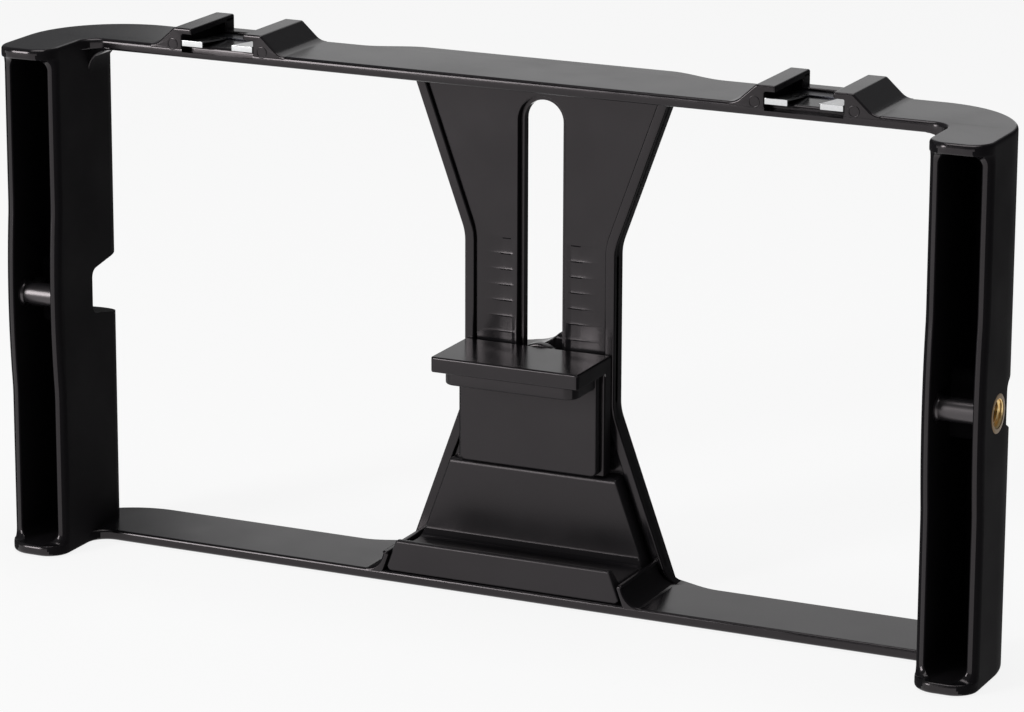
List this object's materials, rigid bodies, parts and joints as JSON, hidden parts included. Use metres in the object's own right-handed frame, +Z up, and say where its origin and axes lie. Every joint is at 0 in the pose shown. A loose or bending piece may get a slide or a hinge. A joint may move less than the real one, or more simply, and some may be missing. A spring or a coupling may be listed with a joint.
{
  "type": "smartphone grip",
  "caption": "Phone video rig: moulded frame with a channel handle at each end, a slotted spine with a sliding padded jaw locked by a rear knob, and accessory shoes on top.",
  "frame": {"origin": "centre of the bounding box's base, on the surface that the rig stands on", "axes": "+X from the left handle to the right handle as the user holds it, +Y from the user to the back, +Z up"},
  "size_m": [0.2446, 0.0558, 0.1278],
  "materials": {
    "abs_black": "satin moulded ABS",
    "rubber_black": "matt moulded rubber",
    "brass": "turned brass",
    "spring_steel": "rolled stainless strip",
    "zinc_steel": "bright zinc plate"
  },
  "bodies": {
    "frame_body": {"frame": "abs_black", "left_thread_insert": "brass", "right_thread_insert": "brass", "left_shoe_spring": "spring_steel", "right_shoe_spring": "spring_steel", "lower_jaw_pad": "rubber_black"},
    "jaw": {"jaw_carriage": "abs_black", "jaw_pad": "rubber_black", "clamp_bolt": "zinc_steel"},
    "washer": {"knob_washer": "zinc_steel"},
    "knob": {"clamp_knob": "abs_black", "knob_nut": "zinc_steel"}
  },
  "joints": [
    {"name": "jaw_slide", "type": "slide", "parent": "frame_body", "child": "jaw", "axis": [0, 0, 1], "range_m": [0, 0.0585]},
    {"name": "knob_backoff", "type": "slide", "parent": "jaw", "child": "washer", "axis": [0, 1, 0], "range_m": [0, 0.002]},
    {"name": "knob_turn", "type": "hinge", "parent": "washer", "child": "knob", "pos_m": [0, 0.0229, 0.0425], "axis": [0, 1, 0], "range_deg": [0, 720]}
  ],
  "couplings": [
    {"joint": "knob_backoff", "follows": "knob_turn", "m_per_rad": 0.00015915}
  ]
}
